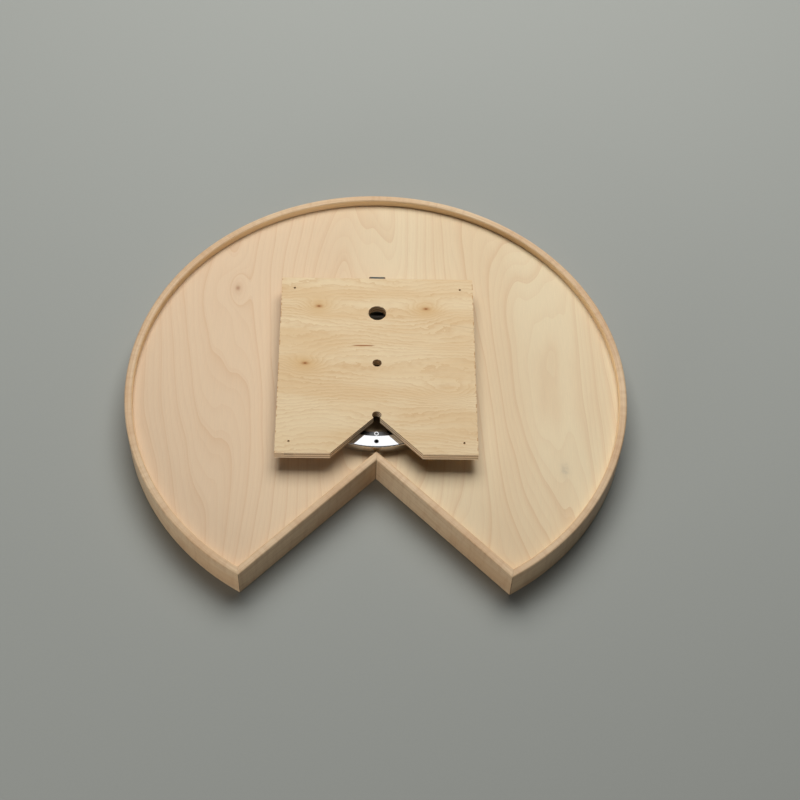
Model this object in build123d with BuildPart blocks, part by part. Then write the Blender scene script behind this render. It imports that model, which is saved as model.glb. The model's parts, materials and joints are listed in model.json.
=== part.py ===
"""Pie-cut wooden lazy susan turntable on a steel ball-bearing swivel.

Millimetres, +Z up.  The origin is the centre of the base plate's mounting face,
on the swivel axis.  The turntable lies upside down: the rim stands on the floor
and the base plate, which is screwed to the cabinet in use, is on top.
"""

from build123d import *
from math import cos, radians, sin, sqrt
import os

os.makedirs("parts", exist_ok=True)

# ---------------------------------------------------------------- driving sizes
tray_d = 711.2  # round outline of the tray, 28 in
band_t = 11.1  # thickness of the wooden bands round the edge
band_h = 50.8  # height of the bands
arris_r = 2.5  # rounding of the long edges of the bands
panel_t = 12.0  # plywood floor of the tray
recess = 11.1  # how far the bands stand past the panel on the swivel side
groove = 5.0  # depth of the groove in the bands that holds the panel

plate_t = 12.7  # plywood base plate
plate_side_margin = 6.35  # plate beyond the bearing, left and right
plate_end_margin = 19.05  # plate beyond the bearing, front and back
corner_inset = 19.05  # corner screw holes, in from both edges
corner_hole_d = 3.2
relief_d = 12.7  # round relief at the point of the plate's notch
centre_hole_d = 12.7
access_d = 25.4  # hole that lets a screwdriver reach the tray ring's screws

bearing_d = 266.7  # outside of the bearing, 10 1/2 in
sheet = 1.5  # steel the bearing rings are pressed from
ball_d = 6.35
ball_count = 24
race_dip = 0.4  # how deep each ball track is pressed
ball_play = 0.05  # running clearance round the balls
skirt_gap = 3.0  # skirt of the base ring above the tray panel
apex_gap = 1.75  # bands at the notch point to the bearing's skirt

screw_hole_d = 6.4
screw_count = 6
screw_shank_d = 3.5
screw_head_d = 8.6
screw_head_h = 2.4
screw_bite = 9.4  # length of thread in the wood
eyelet_count = 12
eyelet_d = 4.2
eyelet_bore_d = 3.0
eyelet_flange_d = 7.3
eyelet_roll_d = 6.4  # the end rolled over underneath
eyelet_flange_t = 0.7
ear_count = 3
ear_w = 20.0
ear_reach = 15.1  # tray ring's inner edge to the ear's screw hole
mitre_run = 6.0  # how far the mitre cuts run past the bands

label_w = 24.0
label_l = 16.0
label_t = 0.3
label_behind = 19.0  # centre of the label behind the plate's back edge

# ---------------------------------------------------------------- bearing stack, up from the panel
ball_z = sheet - race_dip + ball_d / 2
track_under = sheet - 2 * race_dip + ball_d  # underside of the race ring's track
track_top = track_under + sheet
hook_under = track_top + 0.65  # tray ring's lip above the track
hook_top = hook_under + sheet
shelf_under = track_top + 3.35  # where base ring and race ring lie together
shelf_top = shelf_under + sheet
shelf_drop = 4.1
bearing_h = shelf_top + shelf_drop

# ---------------------------------------------------------------- bearing radii, in from the skirt
skirt_r = bearing_d / 2
screw_r = skirt_r - 9.35
hook_r = skirt_r - 6.85
track_r = hook_r - sheet - 0.8
hook_lip_r = hook_r - 3.9
ball_r = skirt_r - 14.85
step_r = skirt_r - 17.65
race_wall_r = step_r - sheet
shelf_r = skirt_r - 27.75
eyelet_r = (shelf_r + race_wall_r - sheet) / 2
tray_ring_r = shelf_r - 1.6
access_r = tray_ring_r - ear_reach

# ---------------------------------------------------------------- plate and tray outline
plate_w = bearing_d + 2 * plate_side_margin
plate_l = bearing_d + 2 * plate_end_margin
label_y = plate_l / 2 + label_behind
tray_r = tray_d / 2
notch_apex = skirt_r + apex_gap + band_t * sqrt(2)
# The swivel axis sits half way along the tray's front-to-back depth.
reach = tray_r - notch_apex
half_sum = reach + 2 * tray_r
centre_back = (half_sum - sqrt(half_sum**2 - 5 * reach**2)) / 5

# One of the base ring's screw holes lies over the notch and stays empty.
first_screw = -90 + 360 / screw_count
screw_arc = 360 - 360 / screw_count

# ---------------------------------------------------------------- levels
plate_under = -plate_t
panel_face = plate_under - bearing_h
panel_back = panel_face - panel_t
band_top = panel_face + recess
band_foot = band_top - band_h


def tray_outline(inset):
    """Round outline with the right-angled notch, drawn `inset` inside the outside."""
    apex_y = -notch_apex + inset * sqrt(2)
    with Locations((0, -centre_back)):
        Circle(tray_r - inset)
    Polygon(
        (0, apex_y),
        (tray_d, apex_y - tray_d),
        (-tray_d, apex_y - tray_d),
        align=None,
        mode=Mode.SUBTRACT,
    )


def tray_tip(inset):
    """Right-hand corner where the notch meets the round edge, `inset` inside."""
    apex_y = -notch_apex + inset * sqrt(2)
    radius = tray_r - inset
    rise = apex_y + centre_back
    x = (rise + sqrt(2 * radius**2 - rise**2)) / 2
    return Vector(x, apex_y - x)


def band_section():
    """Section of a band: the first axis runs from its outer face into the tray."""
    r = arris_r
    pull = arris_r * 0.448  # makes each corner curve a close match for a quarter round
    low, high = band_foot, band_top
    with BuildLine() as outline:
        Line((0, low + r), (0, high - r))
        Bezier((0, high - r), (0, high - pull), (pull, high), (r, high))
        Line((r, high), (band_t - r, high))
        Bezier((band_t - r, high), (band_t - pull, high), (band_t, high - pull), (band_t, high - r))
        Line((band_t, high - r), (band_t, low + r))
        Bezier((band_t, low + r), (band_t, low + pull), (band_t - pull, low), (band_t - r, low))
        Line((band_t - r, low), (r, low))
        Bezier((r, low), (pull, low), (0, low + pull), (0, low + r))
    make_face(outline.edges())
    with Locations((band_t, (panel_back + panel_face) / 2)):
        Rectangle(2 * groove, panel_t, mode=Mode.SUBTRACT)


def mitre(side):
    """Ends of the mitre cut at one of the tray's two points, run past the band."""
    outer = tray_tip(0)
    inner = tray_tip(band_t)
    run = (outer - inner).normalized() * mitre_run
    start = inner - run
    end = outer + run
    return (side * start.X, start.Y), (side * end.X, end.Y)


def ring(points, rounded=()):
    """Pressed ring: a section turned about the swivel axis.

    `points` are (radius, height above the tray panel); `rounded` names the bends
    as (radius, height, bend radius).
    """
    with BuildSketch(Plane.XZ) as section:
        with BuildLine():
            Polyline(*[(r, panel_face + z) for r, z in points], close=True)
        make_face()
        for r, z, bend in rounded:
            corner = vertices().sort_by_distance((r, panel_face + z, 0))[0]
            fillet(corner, bend)
    revolve(section.sketch, axis=Axis.Z)


def ball_track():
    """Track for the balls, cut with a little play round them."""
    with BuildSketch(Plane.XZ) as track:
        with Locations((ball_r, panel_face + ball_z)):
            Circle(ball_d / 2 + ball_play)
    revolve(track.sketch, axis=Axis.Z, mode=Mode.SUBTRACT)


def pan_head_screw(through):
    """Wood screw standing point down, with the underside of its head at z = 0."""
    with BuildPart(mode=Mode.PRIVATE) as screw:
        with BuildSketch(Plane.XZ):
            with BuildLine():
                Polyline(
                    (0, -through - screw_bite),
                    (screw_shank_d / 2, -through - screw_bite + 2.5),
                    (screw_shank_d / 2, 0),
                    (screw_head_d / 2, 0),
                    (screw_head_d / 2, screw_head_h * 0.35),
                )
                ThreePointArc(
                    (screw_head_d / 2, screw_head_h * 0.35),
                    (screw_head_d * 0.36, screw_head_h * 0.83),
                    (0, screw_head_h),
                )
                Line((0, screw_head_h), (0, -through - screw_bite))
            make_face()
        revolve(axis=Axis.Z)
        with Locations((0, 0, screw_head_h)):
            Box(4.4, 0.9, 2.2, mode=Mode.SUBTRACT)
            Box(0.9, 4.4, 2.2, mode=Mode.SUBTRACT)
    return screw.part


def save(solid, name):
    solid.label = name
    export_step(solid, f"parts/{name}.step")


# ---------------------------------------------------------------- base plate
with BuildPart() as base_plate:
    with BuildSketch(Plane.XY.offset(plate_under)):
        Rectangle(plate_w, plate_l)
        Polygon(
            (0, -access_r),
            (plate_l, -access_r - plate_l),
            (-plate_l, -access_r - plate_l),
            align=None,
            mode=Mode.SUBTRACT,
        )
        with Locations((0, -access_r)):
            Circle(relief_d / 2, mode=Mode.SUBTRACT)
        with Locations((0, access_r)):
            Circle(access_d / 2, mode=Mode.SUBTRACT)
        Circle(centre_hole_d / 2, mode=Mode.SUBTRACT)
        with GridLocations(plate_w - 2 * corner_inset, plate_l - 2 * corner_inset, 2, 2):
            Circle(corner_hole_d / 2, mode=Mode.SUBTRACT)
    extrude(amount=plate_t)
    # Pilot holes for the base ring's screws; the place over the notch has no wood.
    with BuildSketch(Plane.XY.offset(plate_under)):
        with PolarLocations(screw_r, screw_count - 1, first_screw, screw_arc):
            Circle(screw_shank_d / 2)
    extrude(amount=screw_bite, mode=Mode.SUBTRACT)
save(base_plate.part, "base_plate")

# ---------------------------------------------------------------- tray
with BuildPart() as tray_panel:
    with BuildSketch(Plane.XY.offset(panel_back)):
        tray_outline(band_t - groove)
    extrude(amount=panel_t)
    with BuildSketch(Plane.XY.offset(panel_face)):
        with PolarLocations(access_r, ear_count, 90):
            Circle(screw_shank_d / 2)
    extrude(amount=-screw_bite, mode=Mode.SUBTRACT)
save(tray_panel.part, "tray_panel")

# The turned band starts and ends in the notch, where it is cut away.
band_start = Plane((0, -centre_back - tray_r, 0), x_dir=(0, 1, 0), z_dir=(1, 0, 0))
with BuildPart() as rim_band:
    with BuildSketch(band_start):
        band_section()
    revolve(axis=Axis((0, -centre_back, 0), (0, 0, 1)))
    with BuildSketch(Plane.XY.offset(band_foot - 1)):
        left_start, left_end = mitre(-1)
        right_start, right_end = mitre(1)
        Polygon(
            left_start,
            right_start,
            right_end,
            (right_end[0], -tray_d),
            (left_end[0], -tray_d),
            left_end,
            align=None,
        )
    extrude(amount=band_h + 2, mode=Mode.SUBTRACT)
save(rim_band.part, "rim_band")

# Section square to the right-hand edge of the notch, with its normal along the edge.
notch_edge = Plane((0, -notch_apex, 0), x_dir=(1, 1, 0), z_dir=(1, -1, 0))
with BuildPart() as notch_band_right:
    with BuildSketch(notch_edge.offset(-2 * band_t)):
        band_section()
    extrude(amount=tray_r)
    with BuildSketch(Plane.XY.offset(band_foot - 1)):
        tip_start, tip_end = mitre(1)
        Polygon(
            (0, -notch_apex - mitre_run),
            (0, -notch_apex + band_t * sqrt(2) + mitre_run),
            tip_start,
            tip_end,
            align=None,
        )
    extrude(amount=band_h + 2, mode=Mode.INTERSECT)
save(notch_band_right.part, "notch_band_right")

with BuildPart() as notch_band_left:
    mirror(notch_band_right.part, about=Plane.YZ)
save(notch_band_left.part, "notch_band_left")

with BuildPart() as blank_label:
    with BuildSketch(Plane.XY.offset(panel_face)):
        with Locations((0, label_y)):
            RectangleRounded(label_w, label_l, 1.5)
    extrude(amount=label_t)
save(blank_label.part, "blank_label")

# ---------------------------------------------------------------- bearing: tray side
with BuildPart() as tray_ring:
    ring(
        [
            (tray_ring_r, 0),
            (hook_r, 0),
            (hook_r, hook_top),
            (hook_lip_r, hook_top),
            (hook_lip_r, hook_under),
            (hook_r - sheet, hook_under),
            (hook_r - sheet, sheet),
            (tray_ring_r + sheet, sheet),
            (tray_ring_r + sheet, 3 * sheet),
            (tray_ring_r, 3 * sheet),
        ],
        [(hook_r, hook_top, 1.2), (hook_r, 0, 1.2)],
    )
    ball_track()
    with BuildSketch(Plane.XY.offset(panel_face)):
        for turn in range(ear_count):
            with Locations(Location((0, 0), 90 + 360 * turn / ear_count)):
                with Locations((access_r, 0)):
                    Circle(ear_w / 2)
                with Locations(((access_r + tray_ring_r + sheet) / 2, 0)):
                    Rectangle(ear_reach + sheet, ear_w)
    extrude(amount=sheet)
    with BuildSketch(Plane.XY.offset(panel_face)):
        with PolarLocations(access_r, ear_count, 90):
            Circle(screw_shank_d / 2)
    extrude(amount=sheet, mode=Mode.SUBTRACT)
save(tray_ring.part, "tray_ring")

with BuildPart() as tray_ring_screws:
    with Locations((0, 0, panel_face + sheet)):
        with PolarLocations(access_r, ear_count, 90):
            add(pan_head_screw(sheet))
save(tray_ring_screws.part, "tray_ring_screws")

# ---------------------------------------------------------------- bearing: base side
with BuildPart() as base_ring:
    ring(
        [
            (shelf_r, shelf_under),
            (step_r, shelf_under),
            (step_r, bearing_h - sheet),
            (skirt_r - sheet, bearing_h - sheet),
            (skirt_r - sheet, skirt_gap),
            (skirt_r, skirt_gap),
            (skirt_r, bearing_h),
            (race_wall_r, bearing_h),
            (race_wall_r, shelf_top),
            (shelf_r, shelf_top),
        ],
        [(skirt_r, bearing_h, 1.4), (race_wall_r, bearing_h, 1.2)],
    )
    with BuildSketch(Plane.XY.offset(plate_under)):
        with PolarLocations(screw_r, screw_count, -90):
            Circle(screw_hole_d / 2)
    extrude(amount=-sheet, mode=Mode.SUBTRACT)
    with BuildSketch(Plane.XY.offset(panel_face + shelf_top)):
        with PolarLocations(eyelet_r, eyelet_count, -90):
            Circle(eyelet_d / 2)
    extrude(amount=-sheet, mode=Mode.SUBTRACT)
save(base_ring.part, "base_ring")

with BuildPart() as race_ring:
    ring(
        [
            (shelf_r, shelf_under - sheet),
            (race_wall_r - sheet, shelf_under - sheet),
            (race_wall_r - sheet, track_under),
            (track_r, track_under),
            (track_r, track_top),
            (race_wall_r, track_top),
            (race_wall_r, shelf_under),
            (shelf_r, shelf_under),
        ],
        [(race_wall_r - sheet, track_under, 1.2)],
    )
    ball_track()
    with BuildSketch(Plane.XY.offset(panel_face + shelf_under)):
        with PolarLocations(eyelet_r, eyelet_count, -90):
            Circle(eyelet_d / 2)
    extrude(amount=-sheet, mode=Mode.SUBTRACT)
save(race_ring.part, "race_ring")

with BuildPart(mode=Mode.PRIVATE) as eyelet:
    with BuildSketch(Plane.XZ):
        with BuildLine():
            Polyline(
                (eyelet_bore_d / 2, -2 * sheet - eyelet_flange_t),
                (eyelet_roll_d / 2, -2 * sheet - eyelet_flange_t),
                (eyelet_roll_d / 2, -2 * sheet),
                (eyelet_d / 2, -2 * sheet),
                (eyelet_d / 2, 0),
                (eyelet_flange_d / 2, 0),
                (eyelet_flange_d / 2, eyelet_flange_t),
                (eyelet_bore_d / 2, eyelet_flange_t),
                close=True,
            )
        make_face()
    revolve(axis=Axis.Z)
    fillet(edges().filter_by(GeomType.CIRCLE).group_by(Axis.Z)[-1], 0.3)

with BuildPart() as eyelets:
    with Locations((0, 0, panel_face + shelf_top)):
        with PolarLocations(eyelet_r, eyelet_count, -90):
            add(eyelet.part)
save(eyelets.part, "eyelets")

with BuildPart() as base_ring_screws:
    screw = pan_head_screw(sheet).rotate(Axis.X, 180)
    with Locations((0, 0, plate_under - sheet)):
        with PolarLocations(screw_r, screw_count - 1, first_screw, screw_arc):
            add(screw)
save(base_ring_screws.part, "base_ring_screws")

# ---------------------------------------------------------------- bearing: balls and cage
ball_places = []
for number in range(ball_count):
    turn = radians(360 * number / ball_count)
    ball_places.append((ball_r * cos(turn), ball_r * sin(turn), panel_face + ball_z))

with BuildPart() as ball_cage:
    with BuildSketch(Plane.XY.offset(panel_face + ball_z - 0.6)):
        Circle(ball_r + ball_d / 2 + 0.6)
        Circle(ball_r - ball_d / 2 - 0.6, mode=Mode.SUBTRACT)
    extrude(amount=1.2)
    with Locations(*ball_places):
        Sphere(ball_d / 2, mode=Mode.SUBTRACT)
save(ball_cage.part, "ball_cage")

for number, place in enumerate(ball_places, 1):
    with BuildPart() as ball:
        with Locations(place):
            Sphere(ball_d / 2)
    save(ball.part, f"ball_{number:02d}")
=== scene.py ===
# %% [markdown]
# # A pie-cut lazy susan, lying upside down
#
# This is the turntable that lives in a corner cabinet. It lies on its face: the rim of the tray
# stands on the floor, and the notched plywood base plate, which is screwed to the cabinet in use,
# is on top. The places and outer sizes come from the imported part, so the first cell loads it. The
# part's own meshes are kept where they already have the right shape, and only get a finish. What
# repeats or follows a path is grown here with Geometry Nodes.

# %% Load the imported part
import json
from math import cos, pi, radians, sin, sqrt, tau

import bmesh
import bpy
from mathutils import Matrix, Vector


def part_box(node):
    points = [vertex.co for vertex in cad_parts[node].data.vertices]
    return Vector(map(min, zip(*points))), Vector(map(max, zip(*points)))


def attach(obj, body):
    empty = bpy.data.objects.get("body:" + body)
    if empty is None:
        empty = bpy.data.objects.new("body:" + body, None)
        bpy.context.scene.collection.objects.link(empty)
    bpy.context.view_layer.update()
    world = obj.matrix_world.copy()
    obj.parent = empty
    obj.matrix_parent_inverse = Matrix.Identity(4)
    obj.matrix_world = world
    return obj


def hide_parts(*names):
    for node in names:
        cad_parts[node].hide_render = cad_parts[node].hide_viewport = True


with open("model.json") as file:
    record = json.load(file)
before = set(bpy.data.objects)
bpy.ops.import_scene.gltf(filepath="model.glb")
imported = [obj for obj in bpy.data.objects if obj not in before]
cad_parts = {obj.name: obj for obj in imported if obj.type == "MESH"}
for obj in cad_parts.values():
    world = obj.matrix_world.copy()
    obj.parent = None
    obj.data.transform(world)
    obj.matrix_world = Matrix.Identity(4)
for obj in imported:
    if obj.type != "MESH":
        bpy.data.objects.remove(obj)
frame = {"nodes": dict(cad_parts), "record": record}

nodes = frame["nodes"]
record = frame["record"]
mounts = {mount["name"]: mount["dims"] for mount in record["mounts"]}
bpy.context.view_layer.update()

# %% [markdown]
# ## Sums that add their own nodes
#
# A node tree is easier to read as a sum than as a list of links. `Wire` holds a node's output, and
# its overloaded operators add Math nodes, so `1 - mask` works. Every other node comes from one
# method, `Recipe.node`, which takes the node's type, its settings, and its sockets by identifier.
# The same class writes materials and Geometry Nodes.


# %% The Wire and Recipe classes
class Wire:
    """A node's output. A plain sum on it adds the Math nodes."""

    def __init__(self, recipe, socket):
        self.recipe = recipe
        self.socket = socket

    def __getitem__(self, name):
        return Wire(self.recipe, named(self.socket.node.outputs, name))

    def __add__(self, other):
        return self.recipe.maths("ADD", self, other)

    def __radd__(self, other):
        return self.recipe.maths("ADD", other, self)

    def __sub__(self, other):
        return self.recipe.maths("SUBTRACT", self, other)

    def __rsub__(self, other):
        return self.recipe.maths("SUBTRACT", other, self)

    def __mul__(self, other):
        return self.recipe.maths("MULTIPLY", self, other)

    def __rmul__(self, other):
        return self.recipe.maths("MULTIPLY", other, self)

    def __truediv__(self, other):
        return self.recipe.maths("DIVIDE", self, other)

    def __pow__(self, other):
        return self.recipe.maths("POWER", self, other)


def named(sockets, name):
    return next(socket for socket in sockets if socket.identifier == name)


class Recipe:
    """A node tree that is written as expressions."""

    def __init__(self, tree):
        self.tree = tree

    def node(self, kind, settings=None, sockets=None):
        """Adds a node: its settings first, then the values or links of its sockets."""
        made = self.tree.nodes.new(kind)
        for name, value in (settings or {}).items():
            setattr(made, name, value)
        for name, value in (sockets or {}).items():
            self.feed(named(made.inputs, name), value)
        outputs = [socket for socket in made.outputs if socket.enabled]
        return Wire(self, outputs[0]) if outputs else None

    def feed(self, socket, value):
        for each in value if isinstance(value, list) else [value]:
            if isinstance(each, Wire):
                self.tree.links.new(each.socket, socket)
            else:
                socket.default_value = each

    def maths(self, operation, *values):
        sockets = dict(zip(("Value", "Value_001", "Value_002"), values))
        return self.node("ShaderNodeMath", {"operation": operation}, sockets)

    def vector(self, x, y, z):
        return self.node("ShaderNodeCombineXYZ", None, {"X": x, "Y": y, "Z": z})

    def noise(self, vector, scale, detail=2.0, roughness=0.5):
        """Noise from 0 to 1, mostly between 0.3 and 0.7."""
        sockets = {"Vector": vector, "Scale": scale, "Detail": detail, "Roughness": roughness}
        return self.node("ShaderNodeTexNoise", None, sockets)

    def rise(self, value, low, high):
        """0 below `low`, 1 above `high`, and a smooth climb between them."""
        sockets = {"Value": value, "From Min": low, "From Max": high}
        return self.node("ShaderNodeMapRange", {"interpolation_type": "SMOOTHSTEP"}, sockets)


# %% [markdown]
# ## Materials
#
# A finish is a Recipe with a Principled shader at its end. Only colour, roughness, metal, coat
# weight and the bump change over the surface; anything that is the same all over is set straight
# on the shader's own socket, so that an exported model keeps it. Patterns read Object coordinates,
# which are metres here, so a scale of 1000 is a millimetre.


# %% The Finish class
def paint(red, green, blue):
    """A colour as it is on a screen, 0 to 255, turned into the light values that nodes use."""
    values = []
    for part in (red, green, blue):
        share = part / 255
        values.append(share / 12.92 if share <= 0.04045 else ((share + 0.055) / 1.055) ** 2.4)
    return (*values, 1.0)


class Finish(Recipe):
    """A material that is written as expressions."""

    def __init__(self, name):
        self.material = bpy.data.materials.new(name)
        self.material.use_nodes = True
        self.material.node_tree.nodes.clear()
        super().__init__(self.material.node_tree)
        self.place = self.node("ShaderNodeTexCoord")["Object"]
        apart = self.node("ShaderNodeSeparateXYZ", None, {"Vector": self.place})
        self.x, self.y, self.z = apart["X"], apart["Y"], apart["Z"]

    def attribute(self, name):
        return self.node("ShaderNodeAttribute", {"attribute_name": name})["Fac"]

    def facing(self, axis):
        """How far the surface faces along an axis, whichever way round."""
        normal = self.node("ShaderNodeTexCoord")["Normal"]
        apart = self.node("ShaderNodeSeparateXYZ", None, {"Vector": normal})
        return self.maths("ABSOLUTE", apart[axis])

    def from_axis(self):
        """Distance from the swivel axis."""
        return self.maths("SQRT", self.x * self.x + self.y * self.y)

    def blend(self, factor, colour, other):
        sockets = {"Factor_Float": factor, "A_Color": colour, "B_Color": other}
        return self.node("ShaderNodeMix", {"data_type": "RGBA"}, sockets)

    def shade(self, colour, factor):
        """The colour times a number that changes over the surface."""
        grey = self.node("ShaderNodeCombineXYZ", None, {"X": factor, "Y": factor, "Z": factor})
        settings = {"operation": "MULTIPLY"}
        return self.node("ShaderNodeVectorMath", settings, {"Vector": colour, "Vector_001": grey})

    def bump(self, height, depth):
        """Bump of that depth in metres, where `height` goes from 0 to 1."""
        return self.node("ShaderNodeBump", None, {"Height": height, "Distance": depth})

    def done(self, sockets):
        shader = self.node("ShaderNodeBsdfPrincipled", None, sockets)
        self.node("ShaderNodeOutputMaterial", None, {"Surface": shader})
        return self.material


# %% [markdown]
# ## What wood figure is
#
# A veneer is peeled or sliced from a log, so its lines are the contour lines of the growth rings.
# That is how they are made here: a height that climbs across the grain, with slow waves added that
# are long along the grain, and one line wherever the height passes a whole number. A ring darkens
# slowly and ends sharply, which the power of the fraction gives. A knot is a bump in the same
# height, so the lines bend round it, as they do in a board.


# %% Growth rings, fibres and knots
def ring_height(f, along, across, rings, waves, wave_length, wave_width):
    """Height of the growth rings over a board: whole numbers are the lines."""
    slow = f.vector(along / wave_length, across / wave_width, 0.0)
    quick = f.vector(along / (wave_length * 0.3), across / (wave_width * 0.3), 3.7)
    sway = f.noise(slow, 1.0, 0.0) * waves + f.noise(quick, 1.0, 1.0) * (waves * 0.1)
    return across * rings + sway


def ring_lines(f, height, sharpness):
    return f.maths("FRACT", height) ** sharpness


def fibres(f, along, across, per_metre=1500.0, length=0.02):
    """Fine short dashes along the grain, about 0 to 1."""
    spread = f.vector(along / length, across * per_metre, 1.3)
    return f.rise(f.noise(spread, 1.0, 2.0, 0.6), 0.3, 0.75)


def knot_mask(f, centre, size):
    """1 at a point of the board, fading out over about `size` in x and in y."""
    far_x = (f.x - centre[0]) / size[0]
    far_y = (f.y - centre[1]) / size[1]
    return f.maths("EXPONENT", (far_x * far_x + far_y * far_y) * -1.0)


# %% [markdown]
# ## The tray's floor
#
# Pale maple veneer with a broad cathedral figure along y, thin pinkish lines and a few wide warm
# streaks, under a satin lacquer. There is one pin knot and a faint grey smudge from handling. The
# core plies only show if the panel is taken out, but their gloss still changes ply by ply.


# %% Panel veneer
PANEL_PLY = 0.0024
PIN_KNOT = (-0.2065, 0.1551)
SMUDGE = (0.261, -0.1562)


def panel_veneer():
    f = Finish("panel_veneer")
    vein = paint(203, 160, 118)
    height = ring_height(f, f.y, f.x, 30.0, 9.0, 0.6, 0.13)
    height = height + knot_mask(f, PIN_KNOT, (0.012, 0.03)) * 1.3
    lines = ring_lines(f, height, 7.0)
    faint = ring_lines(f, height * 3.1, 3.0)
    wide = f.rise(f.noise(f.vector(f.y * 1.6, f.x * 9.0, 5.0), 1.0, 3.0), 0.38, 0.66)
    fine = fibres(f, f.y, f.x)
    patch = f.noise(f.place, 5.0, 2.0)
    colour = f.blend(wide, paint(228, 208, 171), paint(223, 198, 160))
    pinker_left = f.rise(f.x, 0.15, -0.25)
    colour = f.blend(pinker_left, colour, paint(222, 194, 160))
    colour = f.blend(lines * 0.36, colour, vein)
    colour = f.blend(faint * 0.14, colour, vein)
    colour = f.blend(knot_mask(f, PIN_KNOT, (0.003, 0.004)) * 0.8, colour, paint(150, 104, 72))
    colour = f.blend(knot_mask(f, PIN_KNOT, (0.008, 0.012)) * 0.3, colour, paint(190, 145, 108))
    smudge = knot_mask(f, SMUDGE, (0.006, 0.012)) * f.noise(f.place, 220.0, 2.0)
    colour = f.blend(smudge * 0.5, colour, paint(140, 132, 122))
    colour = f.shade(colour, 0.955 + 0.05 * fine + 0.05 * patch)
    ply = f.maths("FRACT", (f.z + 0.1) / PANEL_PLY)
    pores = fibres(f, f.y, f.x, 2600.0, 0.006)
    return f.done(
        {
            "Base Color": colour,
            "Roughness": 0.42 + 0.1 * fine + 0.05 * ply,
            "Coat Weight": 0.12,
            "Coat Roughness": 0.3,
            "Normal": f.bump(pores + lines * 0.5, 0.00004),
        }
    )


# %% [markdown]
# ## The bands
#
# Three strips of solid maple: one bent round the tray, and two straight ones along the notch. The
# grain follows the strip, so the pattern reads two attributes that the sweep below leaves on the
# mesh: `along`, how far along the band a point is, and `around`, how far round its section. The
# section is drawn up the outer face, over the rounded top and down the inner wall, so a range of
# `around` picks out one face. Strips that are sanded end to end show darker flecks across the
# grain. The rounded inner top edge is darkened, and the inner wall carries painted light: a much
# lighter colour than the rest of the band. A third attribute, `seam`, marks the glued mitres.


# %% Band maple
INNER_EDGE = (0.055, 0.067)
INNER_WALL = (0.0605, 0.075)


def band_maple():
    f = Finish("maple_band")
    along = f.attribute("along")
    around = f.attribute("around")
    height = ring_height(f, along, around, 150.0, 5.0, 0.5, 0.012)
    lines = ring_lines(f, height, 4.0)
    flecks = f.rise(f.noise(f.vector(along * 150.0, around * 25.0, 2.0), 1.0, 3.0), 0.42, 0.72)
    tone = f.noise(f.vector(along * 7.0, around * 20.0, 9.0), 1.0, 2.0)
    fine = fibres(f, along, around, 1800.0)
    colour = f.blend(f.rise(tone, 0.35, 0.65), paint(223, 194, 156), paint(213, 178, 138))
    colour = f.blend(lines * 0.35, colour, paint(178, 134, 92))
    colour = f.blend(flecks * 0.22, colour, paint(176, 126, 88))

    level = f.facing("Z")
    near, far = INNER_EDGE
    inside = f.rise(around, near, near + 0.001) * f.rise(around, far, far - 0.001)
    # Darker on the rounded inner top edge, where the surface tilts between level and upright.
    inner_edge_darkening = f.rise(level, 0.15, 0.45) * f.rise(level, 0.95, 0.7) * inside
    colour = f.blend(inner_edge_darkening * 0.4, colour, paint(150, 108, 72))
    # Painted light: the inner wall gets a much lighter colour than the rest of the band.
    near, far = INNER_WALL
    wall_painted_light = f.rise(around, near, near + 0.002) * f.rise(around, far, far - 0.001)
    colour = f.blend(wall_painted_light * 0.9, colour, paint(255, 218, 166))
    seam = f.rise(f.attribute("seam"), 0.0, 1.0) * f.rise(level, 0.7, 0.3)
    colour = f.blend(seam * 0.75, colour, paint(84, 56, 38))
    colour = f.shade(colour, 0.95 + 0.08 * fine)
    return f.done(
        {
            "Base Color": colour,
            "Roughness": 0.4 + 0.12 * fine,
            "Coat Weight": 0.15,
            "Coat Roughness": 0.25,
            "Normal": f.bump(fine + lines * 0.5, 0.00005),
        }
    )


# %% [markdown]
# ## The base plate's plywood
#
# Five plies of bare sanded birch. The face veneer is rotary cut, with its grain along x: strong
# wavy lines, three knots with closed rings round them, and a cat's eye where the knife ran through
# a swelling in the log. The height of the rings gets a tall bump at each, so whole loops close
# round it. The lines fade in and out, because bare birch never shows them all. On the edges every
# other ply shows end grain, which is darker and rougher, and the saw has left brown scorched spots
# and small chips along both sides. Which plies are end grain depends on which way an edge faces.


# %% Base plywood
PLATE_PLIES = 5
PLATE_KNOTS = ((-0.0847, 0.1002), (0.0706, 0.0975), (-0.1019, -0.0018))
CATS_EYE = (0.1026, -0.0468)
STREAK = (-0.0195, 0.0303)
CHIP_WIDTH = 0.0022


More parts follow.
